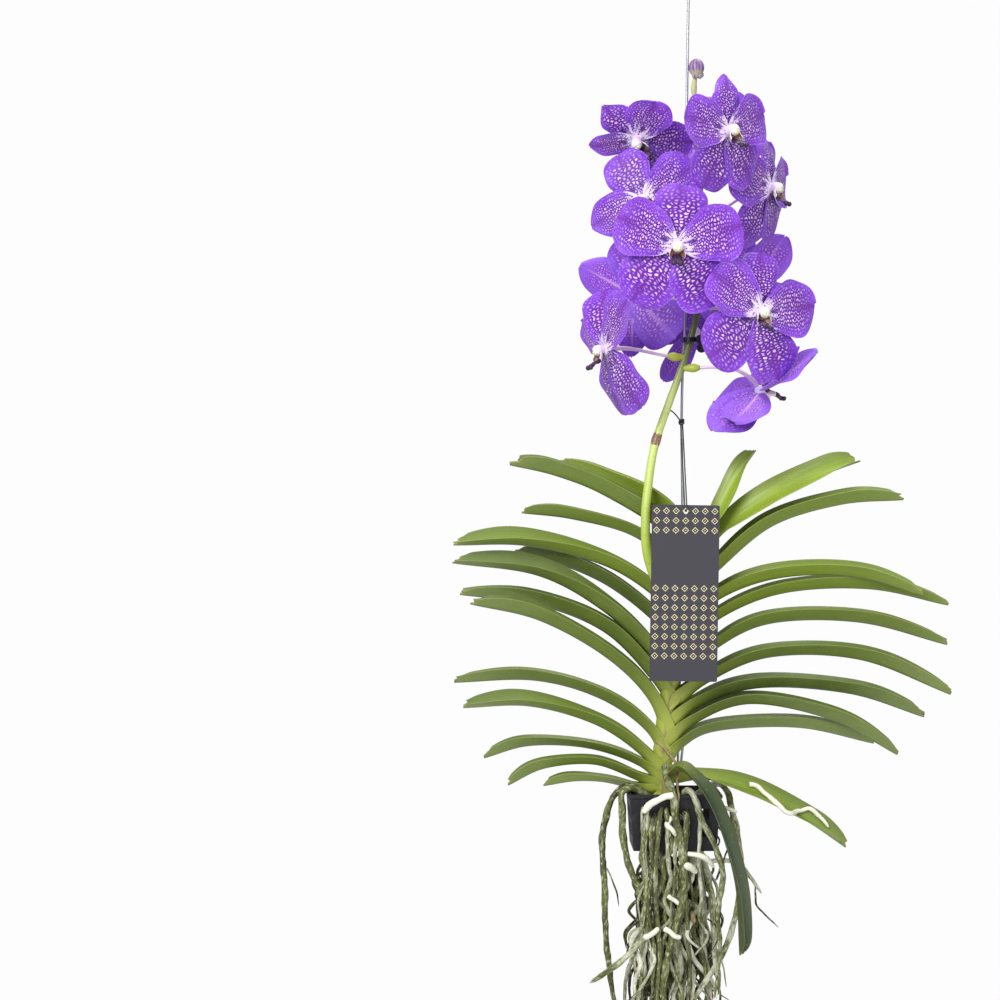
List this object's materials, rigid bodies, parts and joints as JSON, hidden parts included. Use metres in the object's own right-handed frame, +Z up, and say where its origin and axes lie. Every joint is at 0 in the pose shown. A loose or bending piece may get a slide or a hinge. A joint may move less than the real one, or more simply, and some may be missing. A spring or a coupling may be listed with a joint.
{
  "type": "vanda orchid hanging in a slatted basket",
  "caption": "Vanda orchid in flower, grown bare-rooted in a small slatted plastic basket, with strap leaves in two ranks, violet blooms and a stiff wire hanger.",
  "frame": {"origin": "inside top of the hanger's hook, where it sits on a rail", "axes": "+Z up along the hanger wire; the fan of leaves lies in the XZ plane, +X to its right as seen from the front; the front, with the tag, faces -Y"},
  "size_m": [0.4182, 0.1735, 0.9595],
  "materials": {
    "black_plastic": "moulded black plastic",
    "wire_steel": "drawn steel wire",
    "stem_green": "living leaf sheaths, stood in for by matt plastic",
    "root_skin": "living grey-green root skin, stood in for by matt plastic",
    "spike_green": "living flower stalk, stood in for by matt plastic",
    "leaf_green": "living leaf, satin, stood in for by matt plastic",
    "heart_cream": "living column and lip, stood in for by matt plastic",
    "tepal_violet": "living tepals, stood in for by matt plastic",
    "bud_mauve": "living bud, stood in for by matt plastic",
    "tag_card": "printed card, matt",
    "cord_black": "twisted cord"
  },
  "bodies": {
    "root": {"basket": "black_plastic", "bloom_01": "tepal_violet", "bloom_01_lip": "heart_cream", "bloom_02": "tepal_violet", "bloom_02_lip": "heart_cream", "bloom_03": "tepal_violet", "bloom_03_lip": "heart_cream", "bloom_04": "tepal_violet", "bloom_04_lip": "heart_cream", "bloom_05": "tepal_violet", "bloom_05_lip": "heart_cream", "bloom_06": "tepal_violet", "bloom_06_lip": "heart_cream", "bloom_07": "tepal_violet", "bloom_07_lip": "heart_cream", "bloom_08": "tepal_violet", "bloom_08_lip": "heart_cream", "bloom_09": "tepal_violet", "bloom_09_lip": "heart_cream", "bloom_10": "tepal_violet", "bloom_10_lip": "heart_cream", "bloom_11": "tepal_violet", "bloom_11_lip": "heart_cream", "bloom_12": "tepal_violet", "bloom_12_lip": "heart_cream", "bud": "bud_mauve", "cord_knot": "cord_black", "flower_spike": "spike_green", "hanger_hook": "wire_steel", "hanger_wire": "wire_steel", "leaf_left_01": "leaf_green", "leaf_left_02": "leaf_green", "leaf_left_03": "leaf_green", "leaf_left_04": "leaf_green", "leaf_left_05": "leaf_green", "leaf_left_06": "leaf_green", "leaf_left_07": "leaf_green", "leaf_left_08": "leaf_green", "leaf_left_09": "leaf_green", "leaf_left_10": "leaf_green", "leaf_left_11": "leaf_green", "leaf_left_12": "leaf_green", "leaf_left_13": "leaf_green", "leaf_right_01": "leaf_green", "leaf_right_02": "leaf_green", "leaf_right_03": "leaf_green", "leaf_right_04": "leaf_green", "leaf_right_05": "leaf_green", "leaf_right_06": "leaf_green", "leaf_right_07": "leaf_green", "leaf_right_08": "leaf_green", "leaf_right_09": "leaf_green", "leaf_right_10": "leaf_green", "leaf_right_11": "leaf_green", "leaf_right_12": "leaf_green", "roots": "root_skin", "stem": "stem_green", "stem_clip": "black_plastic", "tag": "tag_card", "tag_cord": "cord_black"}
  },
  "joints": []
}
